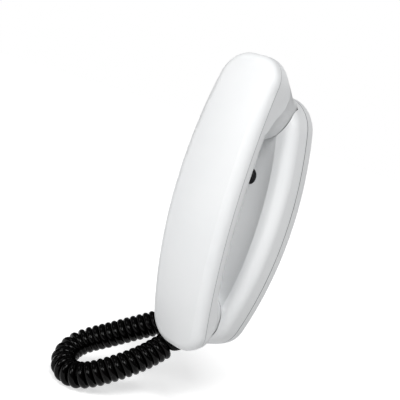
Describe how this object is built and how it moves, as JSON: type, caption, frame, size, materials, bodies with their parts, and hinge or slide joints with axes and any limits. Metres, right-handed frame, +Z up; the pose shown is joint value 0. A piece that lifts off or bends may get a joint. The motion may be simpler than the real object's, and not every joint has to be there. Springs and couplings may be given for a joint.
{
  "type": "audio intercom handset",
  "caption": "Slim wall intercom phone: an arched handset cradled on a leaf-shaped base, with a curly cord, a release button and a hook switch.",
  "frame": {"origin": "middle of the base's wall face", "axes": "+Z up towards the earpiece, +X to the right seen from the front, -Y to the front, and the wall is the plane Y = 0"},
  "size_m": [0.1134, 0.0917, 0.2589],
  "materials": {
    "white_abs": "satin, very fine grain",
    "cord_black": "glossy",
    "button_black": "glossy",
    "black_rubber": "matte",
    "black_plastic": "matte",
    "natural_nylon": "satin",
    "screw_steel": "zinc plated",
    "spring_steel": "drawn wire",
    "weight_steel": "plain",
    "capsule_aluminium": "satin",
    "board_green": "solder mask",
    "terminal_green": "satin",
    "grey_lead": "satin"
  },
  "bodies": {
    "base": {"wall_plate": "white_abs", "base_shell": "white_abs", "case_screws": "screw_steel", "circuit_board": "board_green", "board_screws": "screw_steel", "terminal_block": "terminal_green", "terminal_screws": "screw_steel", "capacitors": "black_plastic", "speech_chip": "black_plastic", "cord_socket": "natural_nylon", "call_sounder": "black_plastic", "sounder_seat": "black_rubber", "release_switch": "black_plastic", "release_spring": "spring_steel", "hook_spring": "spring_steel", "hook_switch": "black_plastic", "base_cord_bush": "black_rubber", "base_leads": "grey_lead", "curly_cord": "cord_black"},
    "handset": {"handset_cover": "white_abs", "handset_inner_shell": "white_abs", "handset_screws": "screw_steel", "receiver_capsule": "black_plastic", "receiver_gasket": "black_rubber", "microphone_capsule": "capsule_aluminium", "microphone_holder": "black_rubber", "grip_weight": "weight_steel", "handset_cord_bush": "black_rubber", "microphone_lead": "grey_lead", "receiver_lead": "grey_lead"},
    "button": {"release_button": "button_black"},
    "plunger": {"hook_plunger": "natural_nylon"}
  },
  "joints": [
    {"name": "handset_lift", "type": "slide", "parent": "base", "child": "handset", "axis": [0, -0.9397, 0.342], "range_m": [0, 0.08]},
    {"name": "release_press", "type": "slide", "parent": "base", "child": "button", "axis": [0, 1, 0], "range_m": [0, 0.0016], "stiffness_N_per_m": 400, "springref_m": -0.002, "deforming": ["release_spring"]},
    {"name": "hook_release", "type": "slide", "parent": "base", "child": "plunger", "axis": [0, -1, 0], "range_m": [0, 0.004], "deforming": ["hook_spring"]}
  ],
  "couplings": [
    {"joint": "hook_release", "follows": "handset_lift", "ratio": 0.05}
  ]
}
